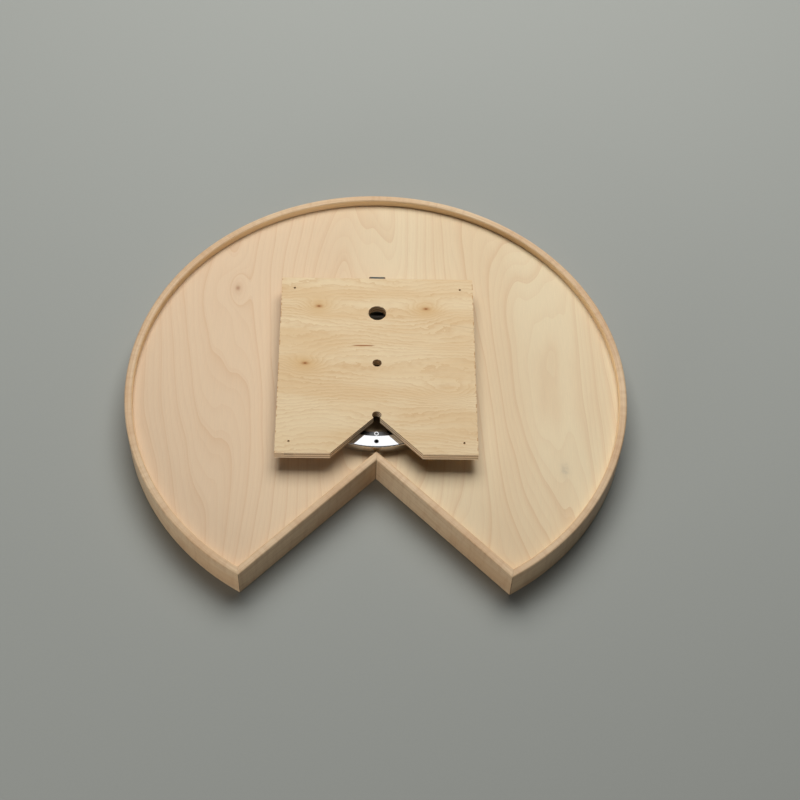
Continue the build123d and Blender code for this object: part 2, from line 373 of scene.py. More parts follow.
def base_plywood(thickness, half_width):
    f = Finish("base_plywood")
    height = ring_height(f, f.x, f.y, 130.0, 8.0, 0.16, 0.05)
    for knot in PLATE_KNOTS:
        height = height + knot_mask(f, knot, (0.022, 0.015)) * 4.5
    height = height + knot_mask(f, CATS_EYE, (0.042, 0.02)) * 5.5
    wobble = f.noise(f.vector(f.x / 0.011, f.y / 0.006, 6.0), 1.0, 3.0)
    clear = f.rise(f.noise(f.vector(f.x * 11.0, f.y * 22.0, 8.0), 1.0, 2.0), 0.3, 0.7)
    lines = ring_lines(f, height + wobble * 1.5, 2.0) * (0.35 + 0.65 * clear)
    wide = f.rise(f.noise(f.vector(f.x * 5.0, f.y * 26.0, 2.0), 1.0, 3.0), 0.36, 0.64)
    fine = fibres(f, f.x, f.y)
    face = f.blend(wide, paint(235, 211, 171), paint(228, 198, 154))
    face = f.blend(lines * 0.52, face, paint(205, 162, 112))
    for knot in PLATE_KNOTS:
        face = f.blend(knot_mask(f, knot, (0.02, 0.015)) * 0.5, face, paint(212, 168, 106))
        face = f.blend(knot_mask(f, knot, (0.005, 0.0026)) * 0.9, face, paint(176, 112, 50))
        face = f.blend(knot_mask(f, knot, (0.0016, 0.001)) * 0.9, face, paint(110, 66, 34))
    streak = f.rise(knot_mask(f, STREAK, (0.0165, 0.0012)), 0.25, 0.6)
    face = f.blend(streak * 0.9, face, paint(158, 100, 54))
    off_middle = f.maths("ABSOLUTE", f.x)
    margin = f.rise(off_middle, half_width - CHIP_WIDTH, half_width - 0.0002)
    chips = f.rise(f.noise(f.vector(f.x * 60.0, f.y * 150.0, 4.0), 1.0, 3.0), 0.5, 0.62)
    face = f.blend(margin * chips * 0.75, face, paint(176, 116, 62))
    face = f.shade(face, 0.96 + 0.06 * fine)

    across_x, across_y = f.facing("X"), f.facing("Y")
    level = f.z / (-thickness / PLATE_PLIES)
    parity = f.maths("FLOORED_MODULO", f.maths("FLOOR", level), 2.0)
    to_y = f.maths("GREATER_THAN", across_y, 0.85)
    end_grain = parity * to_y + (1 - parity) * (1 - to_y)
    glue = f.rise(f.maths("ABSOLUTE", f.maths("FRACT", level) - 0.5), 0.42, 0.49)
    speckle = f.noise(f.place, 900.0, 3.0)
    run = f.noise(f.vector(f.x * 190.0, f.y * 190.0, f.z * 60.0), 1.0, 4.0)
    edge = f.blend(end_grain, paint(244, 222, 190), paint(188, 158, 124))
    edge = f.blend(glue * 0.6, edge, paint(96, 66, 44))
    scorch = f.rise(run, 0.52, 0.7) * f.maths("GREATER_THAN", across_x, 0.85)
    edge = f.blend(scorch * 0.7, edge, paint(170, 108, 58))
    edge = f.shade(edge, 0.85 + 0.3 * speckle)
    side = f.rise(across_x + across_y, 0.45, 0.8)
    return f.done(
        {
            "Base Color": f.blend(side, face, edge),
            "Roughness": 0.62 + 0.14 * fine,
            "Normal": f.bump(fine + lines * 0.4 + speckle * side, 0.00006),
        }
    )


# %% [markdown]
# ## Metals, nylon and the blank label
#
# The ring that shows in the notch is polished on its outer part, so it mirrors what is above it;
# only very faint turning marks and a few finger smears break that up. Inside the polish its colour
# is darkened as painted shade under the plate. The inner rings, balls and screws are zinc plated,
# with the mottled sheen of plating. The rivets are softer and satin. The cage is natural nylon, and
# the label is a blank dark foil.


# %% Metals
def metal(name, colour, dull, marks_depth, mottle, polished_from=0.0):
    """Plated or polished steel. Inside the radius `polished_from` its colour is darkened as painted
    shade.
    """
    f = Finish(name)
    radius = f.from_axis()
    # Painted shade: inside `polished_from` the colour is darkened, as under the plate.
    painted_shade_inside = 1 - f.rise(radius, polished_from - 0.0015, polished_from)
    turning_marks = f.noise(f.vector(radius * 1200.0, f.z * 600.0, 0.0), 1.0, 1.0)
    smear = f.rise(f.noise(f.place, 45.0, 3.0), 0.45, 0.7)
    cloud = f.noise(f.place, 260.0, 4.0)
    tone = (1.0 + mottle * (cloud - 0.5)) * (1 - 0.86 * painted_shade_inside)
    return f.done(
        {
            "Base Color": f.shade(colour[:3], tone),
            "Metallic": 1.0,
            "Roughness": dull + 0.06 * smear + mottle * 0.3 * cloud + 0.2 * painted_shade_inside,
            "Normal": f.bump(turning_marks, marks_depth),
        }
    )


# %% Nylon and foil
def cage_nylon():
    f = Finish("cage_nylon")
    grain = f.noise(f.place, 1400.0, 2.0)
    cloud = f.noise(f.place, 60.0, 2.0)
    colour = f.blend(cloud, paint(228, 224, 208), paint(212, 206, 186))
    sockets = {"Base Color": colour, "Roughness": 0.5 + 0.1 * grain}
    sockets["Normal"] = f.bump(grain, 0.00003)
    return f.done(sockets)


def label_foil():
    f = Finish("label_foil")
    ends = f.rise(f.maths("ABSOLUTE", f.x), 0.0085, 0.0105)
    weave = f.noise(f.vector(f.x * 900.0, f.y * 240.0, 0.0), 1.0, 2.0)
    colour = f.blend(ends, paint(72, 80, 76), paint(96, 76, 58))
    sockets = {"Base Color": f.shade(colour, 0.8 + 0.4 * weave), "Roughness": 0.3 + 0.15 * weave}
    sockets["Metallic"] = 0.4
    return f.done(sockets)


# %% [markdown]
# ## Finishes onto the imported part's own meshes
#
# The imported record says which finish each node takes. The nodes that stay as they are only get
# their material slots filled; their meshes are not touched. The polished ring's painted shade ends
# at a radius of its own, where its bright part begins, so that is named here.


# %% Fill the material slots
plate_low, plate_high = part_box("base_plate")
plate_thick = plate_high.z - plate_low.z
ring_polished_from = 0.1157

finishes = {
    "panel_veneer": panel_veneer(),
    "maple_band": band_maple(),
    "base_plywood": base_plywood(plate_thick, plate_high.x),
    "bright_steel": metal(
        "bright_steel", paint(228, 229, 231), 0.05, 0.0000004, 0.03, ring_polished_from
    ),
    "zinc_steel": metal("zinc_steel", paint(190, 192, 194), 0.24, 0.000004, 0.3),
    "eyelet_metal": metal("eyelet_metal", paint(222, 223, 224), 0.16, 0.000002, 0.1),
    "cage_nylon": cage_nylon(),
    "label_foil": label_foil(),
}

for part in record["subparts"]:
    node = nodes[part["node"]]
    node.data.materials.clear()
    node.data.materials.append(finishes[part["material_slot"]])
print("finishes", sorted(finishes))

# %% [markdown]
# ## Growing a mesh with Geometry Nodes
#
# A geometry recipe has named inputs, and its tree is the same every time it runs. `grow` puts it
# on an object as a modifier, sets the inputs by their sockets' identifiers before the first
# evaluation, keeps the result as a plain mesh, and takes the modifier away. `settle` then merges
# doubles, turns faces outwards, and marks as sharp the edges that the real piece has.


# %% Geometry recipes
SOCKETS = {
    "size": "NodeSocketFloat",
    "count": "NodeSocketInt",
    "object": "NodeSocketObject",
    "finish": "NodeSocketMaterial",
}


class Shape(Recipe):
    """A geometry node tree with named inputs, such as {"Thickness": "size"}."""

    def __init__(self, name, inputs):
        tree = bpy.data.node_groups.new(name, "GeometryNodeTree")
        super().__init__(tree)
        face = tree.interface
        face.new_socket("Geometry", in_out="INPUT", socket_type="NodeSocketGeometry")
        face.new_socket("Geometry", in_out="OUTPUT", socket_type="NodeSocketGeometry")
        self.keys = {}
        for label, kind in {**inputs, "Finish": "finish"}.items():
            made = face.new_socket(label, in_out="INPUT", socket_type=SOCKETS[kind])
            self.keys[label] = made.identifier
        self.start = self.node("NodeGroupInput")

    def input(self, label):
        return self.start[self.keys[label]]

    def step(self, kind, geometry, sockets=None, settings=None):
        """A node that changes a geometry, which is its first socket."""
        made = self.node(kind, settings, sockets)
        self.feed(made.socket.node.inputs[0], geometry)
        return made

    def geometry_of(self, label):
        """The geometry of the object in one of the inputs."""
        return self.node("GeometryNodeObjectInfo", None, {"Object": self.input(label)})["Geometry"]

    def rounded_line(self, label, corner_steps):
        """An object's line as a curve, each corner rounded by its own `rounding`."""
        line = self.step("GeometryNodeMeshToCurve", self.geometry_of(label))
        settings = {"data_type": "FLOAT"}
        radius = self.node("GeometryNodeInputNamedAttribute", settings, {"Name": "rounding"})
        sockets = {"Radius": radius, "Count": corner_steps}
        return self.step("GeometryNodeFilletCurve", line, sockets, {"mode": "POLY"})

    def finish(self, geometry):
        """Ends the tree: real geometry, with its material, for an exported model to keep."""
        real = self.step("GeometryNodeRealizeInstances", geometry)
        dressed = self.step("GeometryNodeSetMaterial", real, {"Material": self.input("Finish")})
        end = self.tree.nodes.new("NodeGroupOutput")
        self.feed(end.inputs[0], dressed)


def outline_object(name, points, closed=True, **per_point):
    """A loose line of points as a mesh, with named numbers at each point."""
    mesh = bpy.data.meshes.new(name)
    edges = [(number, number + 1) for number in range(len(points) - 1)]
    if closed:
        edges.append((len(points) - 1, 0))
    mesh.from_pydata([Vector(point).to_3d() for point in points], edges, [])
    for label, values in per_point.items():
        mesh.attributes.new(label, "FLOAT", "POINT").data.foreach_set("value", values)
    return bpy.data.objects.new(name, mesh)


def grow(name, shape, sizes, start=None):
    """Runs a geometry recipe once and keeps its result as a plain mesh."""
    source = start or bpy.data.objects.new("seedling", bpy.data.meshes.new("seedling"))
    bpy.context.scene.collection.objects.link(source)
    modifier = source.modifiers.new("recipe", "NODES")
    modifier.node_group = shape.tree
    for label, value in sizes.items():
        modifier[shape.keys[label]] = value
    grown = source.evaluated_get(bpy.context.evaluated_depsgraph_get())
    mesh = bpy.data.meshes.new_from_object(grown)
    source.modifiers.remove(modifier)
    bpy.data.objects.remove(source)
    mesh.name = name
    piece = bpy.data.objects.new(name, mesh)
    bpy.context.scene.collection.objects.link(piece)
    return piece


def settle(piece, sharp_degrees=35.0, merge=0.000002):
    """Merges doubles, turns faces outwards, and keeps only real corners sharp."""
    work = bmesh.new()
    work.from_mesh(piece.data)
    bmesh.ops.remove_doubles(work, verts=work.verts, dist=merge)
    bmesh.ops.dissolve_degenerate(work, edges=work.edges, dist=merge / 4)
    loose = [edge for edge in work.edges if not edge.link_faces]
    bmesh.ops.delete(work, geom=loose, context="EDGES")
    bmesh.ops.recalc_face_normals(work, faces=work.faces)
    for face in work.faces:
        face.smooth = True
    for edge in work.edges:
        turned = edge.calc_face_angle(pi) if edge.is_manifold else pi
        edge.smooth = turned < radians(sharp_degrees)
    open_edges = sum(not edge.is_manifold for edge in work.edges)
    print(piece.name, len(work.faces), "faces,", open_edges, "open edges")
    work.to_mesh(piece.data)
    work.free()
    return piece


# %% [markdown]
# ## Bands swept along the tray's edge
#
# A band is a rounded strip with a groove for the panel, run along a path and cut to a mitre at
# both ends. That is a sweep: the section is drawn once, each of its corners carries its own
# rounding, and Curve to Mesh runs it along any path. The path and the section both leave their
# length on the mesh, so that the grain can follow the band.

# %% The sweep
sweep = Shape("band_sweep", {"Section": "object", "Corner steps": "count"})
path = sweep.step("GeometryNodeMeshToCurve", sweep.start)
path = sweep.step("GeometryNodeSetCurveNormal", path, None, {"mode": "Z_UP"})
path_length = sweep.node("GeometryNodeSplineParameter")["Length"]
path = sweep.step("GeometryNodeStoreNamedAttribute", path, {"Name": "along", "Value": path_length})
section = sweep.rounded_line("Section", sweep.input("Corner steps"))
section_length = sweep.node("GeometryNodeSplineParameter")["Length"]
section = sweep.step(
    "GeometryNodeStoreNamedAttribute", section, {"Name": "around", "Value": section_length}
)
swept = sweep.step("GeometryNodeCurveToMesh", path, {"Profile Curve": section, "Fill Caps": True})
sweep.finish(swept)

# %% Sizes of the bands
rim_low, rim_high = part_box("rim_band")
panel_low, panel_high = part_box("tray_panel")
notch_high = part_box("notch_band_right")[1]
tray_radius = rim_high.x
tray_centre = Vector((0.0, rim_high.y - tray_radius))
band_thick = 0.0111
arris = 0.0025
groove_depth = band_thick - (tray_radius - panel_high.x)
notch_point = Vector((0.0, notch_high.y - band_thick * sqrt(2)))
print("tray radius", round(tray_radius, 4), "groove", round(groove_depth, 4))


def band_section():
    """The band's section: x runs in from its outer face, y is the depth below the origin."""
    low, high = -rim_low.z, -rim_high.z
    mouth = band_thick - groove_depth
    corners = [(0, low), (0, high), (band_thick, high), (band_thick, -panel_high.z)]
    corners += [(mouth, -panel_high.z), (mouth, -panel_low.z), (band_thick, -panel_low.z)]
    corners += [(band_thick, low)]
    eased = 0.0004
    roundings = [arris, arris, arris, eased, eased, eased, eased, arris]
    return outline_object("band_section", corners, rounding=roundings)


def tray_tip(inset):
    """Right-hand corner where the notch meets the round edge, `inset` inside."""
    apex = notch_point.y + inset * sqrt(2)
    radius = tray_radius - inset
    rise = apex - tray_centre.y
    x = (rise + sqrt(2 * radius * radius - rise * rise)) / 2
    return Vector((x, apex - x))


# %% [markdown]
# ## Mitres
#
# Where two bands meet, both are sawn at half the corner's angle. Here a plane cuts each band a
# hair short, which leaves the fine dark seam of a real glued joint. A second cut just behind it
# adds a ring of points, so that the dark glue line stays narrow. A reach keeps the cut at its own
# corner: the bent band would otherwise be cut on the far side as well.

# %% Cut the mitres
mitre_gap = 0.00012
seam_width = 0.0005
corner_reach = 0.05


def mitre(piece, point, away, reach=10.0):
    """Cuts the piece at `point`, square to `away`, takes that side off and closes it."""
    normal = Vector(away).to_3d().normalized()
    place = Vector(point).to_3d()
    work = bmesh.new()
    work.from_mesh(piece.data)
    seam = work.verts.layers.float.get("seam") or work.verts.layers.float.new("seam")
    for depth, clear in ((mitre_gap + seam_width, False), (mitre_gap, True)):
        near = {v for v in work.verts if (v.co.xy - place.xy).length < reach}
        faces = {face for vert in near for face in vert.link_faces}
        edges = {edge for vert in near for edge in vert.link_edges}
        plane = place - normal * depth
        cut = bmesh.ops.bisect_plane(
            work,
            geom=list(near | faces | edges),
            plane_co=plane,
            plane_no=normal,
            clear_outer=clear,
            dist=0.000001,
        )
    rim = [item for item in cut["geom_cut"] if isinstance(item, bmesh.types.BMEdge)]
    for vert in {vert for edge in rim for vert in edge.verts}:
        vert[seam] = 1.0
    bmesh.ops.holes_fill(work, edges=rim, sides=0)
    work.to_mesh(piece.data)
    work.free()


# %% [markdown]
# ## The three bands
#
# The bent band runs from the left tip round the back to the right tip, and each straight band from
# a tip to the point of the notch. Every path runs a little too far, for the mitres to cut. The
# left path is the right one mirrored and run backwards, so its section still faces outwards.


# %% Sweep and cut the bands
def make_band(name, path_points):
    section_line = band_section()
    sizes = {"Section": section_line, "Corner steps": 6, "Finish": finishes["maple_band"]}
    band = grow(name, sweep, sizes, outline_object("band_path", path_points, closed=False))
    bpy.data.objects.remove(section_line)
    return band


def spaced(start, end, spacing):
    """Points from start to end, `spacing` apart or a little less."""
    count = max(2, int((end - start).length / spacing) + 1)
    return [start.lerp(end, number / count) for number in range(count + 1)]


tip, inner_tip = tray_tip(0.0), tray_tip(band_thick)
tip_cut = (inner_tip - tip).normalized()
across_tip = Vector((-tip_cut.y, tip_cut.x))
overrun = 0.02
mirrored = Vector((-1.0, 1.0))  # times this, a point is on the left

# Clockwise round the back, from past the left tip to past the right tip.
half_turn = Vector((0.0, 1.0)).angle(tip - tray_centre) + overrun / tray_radius
half_steps = 150
rim_path = []
for number in range(-half_steps, half_steps + 1):
    turn = half_turn * number / half_steps
    rim_path.append(tray_centre + tray_radius * Vector((sin(turn), cos(turn))))
rim_band = make_band("bent_band", rim_path)
mitre(rim_band, tip, across_tip, corner_reach)
mitre(rim_band, tip * mirrored, across_tip * mirrored, corner_reach)

edge = (notch_point - tip).normalized()
straight_spacing = 0.02
right_path = spaced(tip - edge * overrun, notch_point + edge * overrun, straight_spacing)
right_band = make_band("straight_band_right", right_path)
mitre(right_band, tip, across_tip * -1)
mitre(right_band, notch_point, (-1.0, 0.0))

left_path = [point * mirrored for point in reversed(right_path)]
left_band = make_band("straight_band_left", left_path)
mitre(left_band, tip * mirrored, across_tip * mirrored * -1)
mitre(left_band, notch_point, (1.0, 0.0))

for band, node in (
    (rim_band, "rim_band"),
    (right_band, "notch_band_right"),
    (left_band, "notch_band_left"),
):
    settle(band)
    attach(band, "tray")
    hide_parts(node)

# %% [markdown]
# ## The sawn plywood plate
#
# Real plywood is a stack of plies, so the plate is grown as one: its outline is filled, and then
# raised ply by ply, with three rings of points in each ply. The saw tears short fibres out of
# every ply that it crosses, so each ring is pushed in a little by noise, most where the cut runs
# across the grain of the face. One ply has a void at the notched edge, as cheap cores do. Nothing
# is pushed outwards, so the plate keeps its size. The outline comes first, as plain points: the
# notched square with its round relief, then the centre hole, the access hole and the four holes
# for screws.

# %% The plate's outline
spacing = 0.0011
access_radius = 0.0127
access_y = 0.0889
relief_radius = 0.00635


def circle(centre, radius, start=0.0, sweep_angle=tau):
    """Points on an arc, `spacing` apart, without its last one."""
    count = max(16, int(abs(sweep_angle) * radius / spacing))
    turns = [start + sweep_angle * number / count for number in range(count)]
    return [centre + radius * Vector((cos(turn), sin(turn))) for turn in turns]


def plate_outline():
    """The square plate with its right-angled notch and the round relief at its point."""
    half_width, half_length = plate_high.x, plate_high.y
    point = Vector((0.0, -access_y))
    foot = half_length - access_y
    lip = relief_radius / sqrt(2)
    legs = [
        (Vector((-foot, -half_length)), point + Vector((-lip, -lip))),
        (point + Vector((lip, -lip)), Vector((foot, -half_length))),
        (Vector((foot, -half_length)), Vector((half_width, -half_length))),
        (Vector((half_width, -half_length)), Vector((half_width, half_length))),
        (Vector((half_width, half_length)), Vector((-half_width, half_length))),
        (Vector((-half_width, half_length)), Vector((-half_width, -half_length))),
        (Vector((-half_width, -half_length)), Vector((-foot, -half_length))),
    ]
    points = spaced(*legs[0], spacing)[:-1]
    points += circle(point, relief_radius, 1.25 * pi, -1.5 * pi)
    for leg in legs[1:]:
        points += spaced(*leg, spacing)[:-1]
    return points


def plate_holes():
    """Centre hole, access hole and the four corner screw holes, from the part's mounts."""
    corners = mounts["corner_screws"]
    step_x, step_y = corners["spacing_x_mm"] / 2000, corners["spacing_y_mm"] / 2000
    holes = [circle(Vector((0.0, 0.0)), mounts["centre_hole"]["r_mm"] / 1000)]
    holes.append(circle(Vector((0.0, access_y)), access_radius))
    for side_x in (-1, 1):
        for side_y in (-1, 1):
            centre = Vector((side_x * step_x, side_y * step_y))
            holes.append(circle(centre, corners["hole_r_mm"] / 1000))
    return holes


def loops_object(name, loops):
    """Several closed lines in one mesh."""
    verts, edges = [], []
    for loop in loops:
        first = len(verts)
        verts += [point.to_3d() for point in loop]
        edges += [(first + n, first + (n + 1) % len(loop)) for n in range(len(loop))]
    mesh = bpy.data.meshes.new(name)
    mesh.from_pydata(verts, edges, [])
    return bpy.data.objects.new(name, mesh)


# %% [markdown]
# ## A recipe for the ply stack
#
# Fill Curve closes the outline, and Extrude Mesh raises it in steps; its Top output selects the
# face for the next step. The underside is the same face, flipped. Then every point moves inwards
# along the level part of its normal, so only the sides tear and both faces stay flat. An array of
# thin boards would leave a seam at every glue line, and the holes would have to be cut in each.

# %% The ply stack
plate = Shape("ply_stack", {"Thickness": "size", "Tear": "size", "Void depth": "size"})
outline = plate.step("GeometryNodeMeshToCurve", plate.start)
floor_face = plate.step("GeometryNodeFillCurve", outline, None, {"mode": "TRIANGLES"})
ply_height = plate.input("Thickness") / PLATE_PLIES
ply_shares = (0.14, 0.72, 0.14)
stack, top = floor_face, True
for ply in range(PLATE_PLIES):
    for share in ply_shares:
        sockets = {"Selection": top, "Offset": (0, 0, 1), "Offset Scale": ply_height * share}
        sockets["Individual"] = False
        stack = plate.step("GeometryNodeExtrudeMesh", stack, sockets, {"mode": "FACES"})
        top = stack["Top"]
underside = plate.step("GeometryNodeFlipFaces", floor_face)
body = plate.node("GeometryNodeJoinGeometry", None, {"Geometry": [stack, underside]})
body = plate.step("GeometryNodeMergeByDistance", body, {"Distance": 0.000004})
lowered = plate.vector(0.0, 0.0, plate.input("Thickness") * -1.0)
body = plate.step("GeometryNodeSetPosition", body, {"Offset": lowered})

normal = plate.node("GeometryNodeInputNormal")
sockets = {"Vector": normal, "Vector_001": (1, 1, 0)}
flat = plate.node("ShaderNodeVectorMath", {"operation": "MULTIPLY"}, sockets)
outward = plate.node("ShaderNodeVectorMath", {"operation": "NORMALIZE"}, {"Vector": flat})
facing = plate.node("ShaderNodeSeparateXYZ", None, {"Vector": outward})
position = plate.node("GeometryNodeInputPosition")
spot = plate.node("ShaderNodeSeparateXYZ", None, {"Vector": position})
ply_number = plate.maths("FLOOR", spot["Z"] / ply_height)
parity = plate.maths("FLOORED_MODULO", ply_number, 2.0)
crossed = plate.rise(plate.maths("ABSOLUTE", facing["X"]), 0.8, 0.95)
fibre = plate.vector(spot["X"] * 420.0, spot["Y"] * 420.0, ply_number * 5.1)
torn = plate.rise(plate.noise(fibre, 1.0, 3.0, 0.7), 0.42, 0.8)
nibble = plate.vector(spot["X"] * 1500.0, spot["Y"] * 1500.0, spot["Z"] * 900.0)
fuzz = plate.noise(nibble, 1.0, 2.0)
torn = torn * (0.12 + 0.88 * crossed * (0.5 + 0.5 * parity))
amount = plate.input("Tear") * (torn + 0.08 * fuzz)

# The void is in the second ply from the top, near the left corner.
void_x, void_half, void_ply = -0.119, 0.0075, 1
from_void = plate.maths("ABSOLUTE", spot["X"] - void_x)
in_x = 1 - plate.rise(from_void, void_half * 0.8, void_half)
from_ply = plate.maths("ABSOLUTE", spot["Z"] / ply_height + void_ply + 0.5)
in_z = 1 - plate.rise(from_ply, 0.38, 0.48)
void = in_x * in_z * plate.maths("LESS_THAN", facing["Y"], -0.9) * plate.input("Void depth")
push = plate.node(
    "ShaderNodeVectorMath",
    {"operation": "SCALE"},
    {"Vector": outward, "Scale": (amount + void) * -1.0},
)
body = plate.step("GeometryNodeSetPosition", body, {"Offset": push})
plate.finish(body)

# %% Grow the base plate
sizes = {"Thickness": plate_thick, "Tear": 0.0011, "Void depth": 0.004}
sizes["Finish"] = finishes["base_plywood"]
start = loops_object("plate_outline", [plate_outline(), *plate_holes()])
print("plate outline and holes", len(start.data.vertices), "points")
base_plate = settle(grow("plywood_plate", plate, sizes, start), sharp_degrees=50.0)
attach(base_plate, "base")
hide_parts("base_plate")

# %% [markdown]
# ## A lathe, and copies on an arc
#
# The rivets and the screws are turned shapes that repeat on a circle. A lathe is a sweep too: the
# half section runs round a small circle, whose radius is taken off the section first. A Screw
# modifier could do the same, but the sweep rounds each corner on the way. The second tree sets
# copies of a finished piece on an arc about the swivel axis.

# %% The lathe
axis_gap = 0.002
lathe = Shape("lathe", {"Half section": "object", "Steps": "count", "Axis gap": "size"})
half = lathe.rounded_line("Half section", 3)
shift = lathe.vector(lathe.input("Axis gap") * -1.0, 0.0, 0.0)
half = lathe.step("GeometryNodeTransform", half, {"Translation": shift})
wheel = lathe.node(
    "GeometryNodeCurvePrimitiveCircle",
    {"mode": "RADIUS"},
    {"Resolution": lathe.input("Steps"), "Radius": lathe.input("Axis gap")},
)
wheel = lathe.step("GeometryNodeSetCurveNormal", wheel, None, {"mode": "Z_UP"})
lathe.finish(lathe.step("GeometryNodeCurveToMesh", wheel, {"Profile Curve": half}))

# %% Copies on an arc
ring_of = Shape(
    "copies_on_arc",
    {"Piece": "object", "Count": "count", "Radius": "size", "First": "size", "Arc": "size",
     "Height": "size", "Turned over": "size"},
)
arc = ring_of.node(
    "GeometryNodeCurveArc",
    {"mode": "RADIUS"},
    {
        "Resolution": ring_of.input("Count"),
        "Radius": ring_of.input("Radius"),
        "Start Angle": ring_of.input("First"),
        "Sweep Angle": ring_of.input("Arc"),
    },
)
lift = ring_of.vector(0.0, 0.0, ring_of.input("Height"))
arc = ring_of.step("GeometryNodeTransform", arc, {"Translation": lift})
flip = ring_of.vector(ring_of.input("Turned over"), 0.0, 0.0)
sockets = {"Instance": ring_of.geometry_of("Piece"), "Rotation": flip}
ring_of.finish(ring_of.step("GeometryNodeInstanceOnPoints", arc, sockets))


def on_arc(name, piece, finish, body, node, **sizes):
    """Copies of the piece on an arc about the swivel axis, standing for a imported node."""
    labels = {label.replace("_", " ").capitalize(): value for label, value in sizes.items()}
    ring = grow(name, ring_of, {"Piece": piece, "Finish": finishes[finish], **labels})
    bpy.data.objects.remove(piece)
    settle(ring)
    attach(ring, body)
    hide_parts(node)


def turned(name, corners, roundings, finish, steps):
    """A lathe piece from (radius, height) corners, in metres."""
    drawn = [(radius, -height) for radius, height in corners]
    line = outline_object("half_section", drawn, rounding=roundings)
    sizes = {"Half section": line, "Steps": steps, "Axis gap": axis_gap}
    piece = grow(name, lathe, {**sizes, "Finish": finishes[finish]})
    bpy.data.objects.remove(line)
    return piece


# %% [markdown]
# ## Rivets
#
# Tubular rivets hold the two rings on the base's side together. Each is a short tube with a wide
# flange at its top and a rolled end below; one of them shows in the notch. Its length comes from
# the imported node, so the flanges lie on the sheet metal.

# %% The rivets
rivet_low, rivet_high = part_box("eyelets")
flange_radius, bore_radius, barrel_radius = 0.00365, 0.0015, 0.0021
roll_radius, flange_thick = 0.0032, 0.0007
gripped = rivet_high.z - rivet_low.z - 2 * flange_thick
rivet = turned(
    "rivet",
    [
        (bore_radius, -gripped - flange_thick),
        (roll_radius, -gripped - flange_thick),
        (roll_radius, -gripped),
        (barrel_radius, -gripped),
        (barrel_radius, 0.0),
        (flange_radius, 0.0),
        (flange_radius * 0.93, flange_thick),
        (bore_radius * 1.25, flange_thick),
        (bore_radius, flange_thick * 0.3),
    ],
    [0.0002, 0.0003, 0.0002, 0, 0, 0.0001, 0.0003, 0.0003, 0.0003],
    "eyelet_metal",
    28,
)
rivet_count = 12
step = tau / rivet_count
on_arc(
    "rivets",
    rivet,
    "eyelet_metal",
    "base",
    "eyelets",
    count=rivet_count,
    radius=rivet_high.x - flange_radius,
    first=-pi / 2,
    arc=tau - step,
    height=rivet_high.z - flange_thick,
)

# %% [markdown]
# ## Screws
#
# Pan head wood screws hold the bearing to both boards. A screw starts as a turned blank. Two
# crossed bars are taken out of its head with a boolean, for the driver, and a spiral curve swept
# with a small three-cornered section is laid over the shank as the thread. Five screws go up into
# the base plate; the sixth place on their circle is open in the notch. Three go down into the tray.

# %% The thread and the driver's cross
plain_neck = 0.0025
thread = Shape(
    "thread",
    {"Blank": "object", "Turns": "size", "Pitch": "size", "Root": "size", "Crest": "size",
     "Slot": "size", "Slot length": "size", "Head height": "size"},
)
coil = thread.node(
    "GeometryNodeCurveSpiral",
    None,
    {
        "Resolution": 16,
        "Rotations": thread.input("Turns"),
        "Start Radius": thread.input("Root"),
        "End Radius": thread.input("Root"),
        "Height": thread.input("Turns") * thread.input("Pitch"),
    },
)
drop = thread.input("Turns") * thread.input("Pitch") * -1.0 - plain_neck
coil = thread.step("GeometryNodeTransform", coil, {"Translation": thread.vector(0.0, 0.0, drop)})
sockets = {"Resolution": 3, "Radius": thread.input("Crest")}
ridge = thread.node("GeometryNodeCurvePrimitiveCircle", {"mode": "RADIUS"}, sockets)
coil = thread.step("GeometryNodeCurveToMesh", coil, {"Profile Curve": ridge, "Fill Caps": True})
wide, long = thread.input("Slot"), thread.input("Slot length")
bars = []
for size_x, size_y in ((long, wide), (wide, long)):
    size = thread.vector(size_x, size_y, wide * 2.4)
    bar = thread.node("GeometryNodeMeshCube", None, {"Size": size})["Mesh"]
    up = thread.vector(0.0, 0.0, thread.input("Head height"))
    bars.append(thread.step("GeometryNodeTransform", bar, {"Translation": up}))
settings = {"operation": "DIFFERENCE", "solver": "EXACT"}
sockets = {"Mesh 1": thread.geometry_of("Blank"), "Mesh 2": bars}
cut = thread.node("GeometryNodeMeshBoolean", settings, sockets)
thread.finish(thread.node("GeometryNodeJoinGeometry", None, {"Geometry": [cut, coil]}))


# %% One screw
head_radius, head_height, thread_radius, root_radius = 0.0043, 0.0024, 0.00175, 0.0012
point_shoulder, point_length = 0.0022, 0.003
pitch, point_clear = 0.0013, 0.002
slot_width, slot_length = 0.0009, 0.0044


def screw(length, finish):
    """A pan head wood screw, point down, with the underside of its head at z = 0."""
    blank_screw = turned(
        "screw_blank",
        [
            (0.0, -length),
            (root_radius * 0.8, -length + point_shoulder),
            (root_radius, -length + point_length),
            (root_radius, 0.0),
            (head_radius, 0.0),
            (head_radius, head_height * 0.3),
            (head_radius * 0.72, head_height * 0.84),
            (head_radius * 0.35, head_height),
            (0.0, head_height),
        ],
        [0, 0, 0, 0.0001, 0.0002, 0.0003, 0.0006, 0.0006, 0],
        finish,
        24,
    )
    settle(blank_screw)
    sizes = {
        "Blank": blank_screw,
        "Turns": (length - plain_neck - point_clear) / pitch,
        "Pitch": pitch,
        "Root": root_radius,
        "Crest": thread_radius - root_radius,
        "Slot": slot_width,
        "Slot length": slot_length,
        "Head height": head_height,
        "Finish": finishes[finish],
    }
    made = grow("screw", thread, sizes)
    bpy.data.objects.remove(blank_screw)
    return made


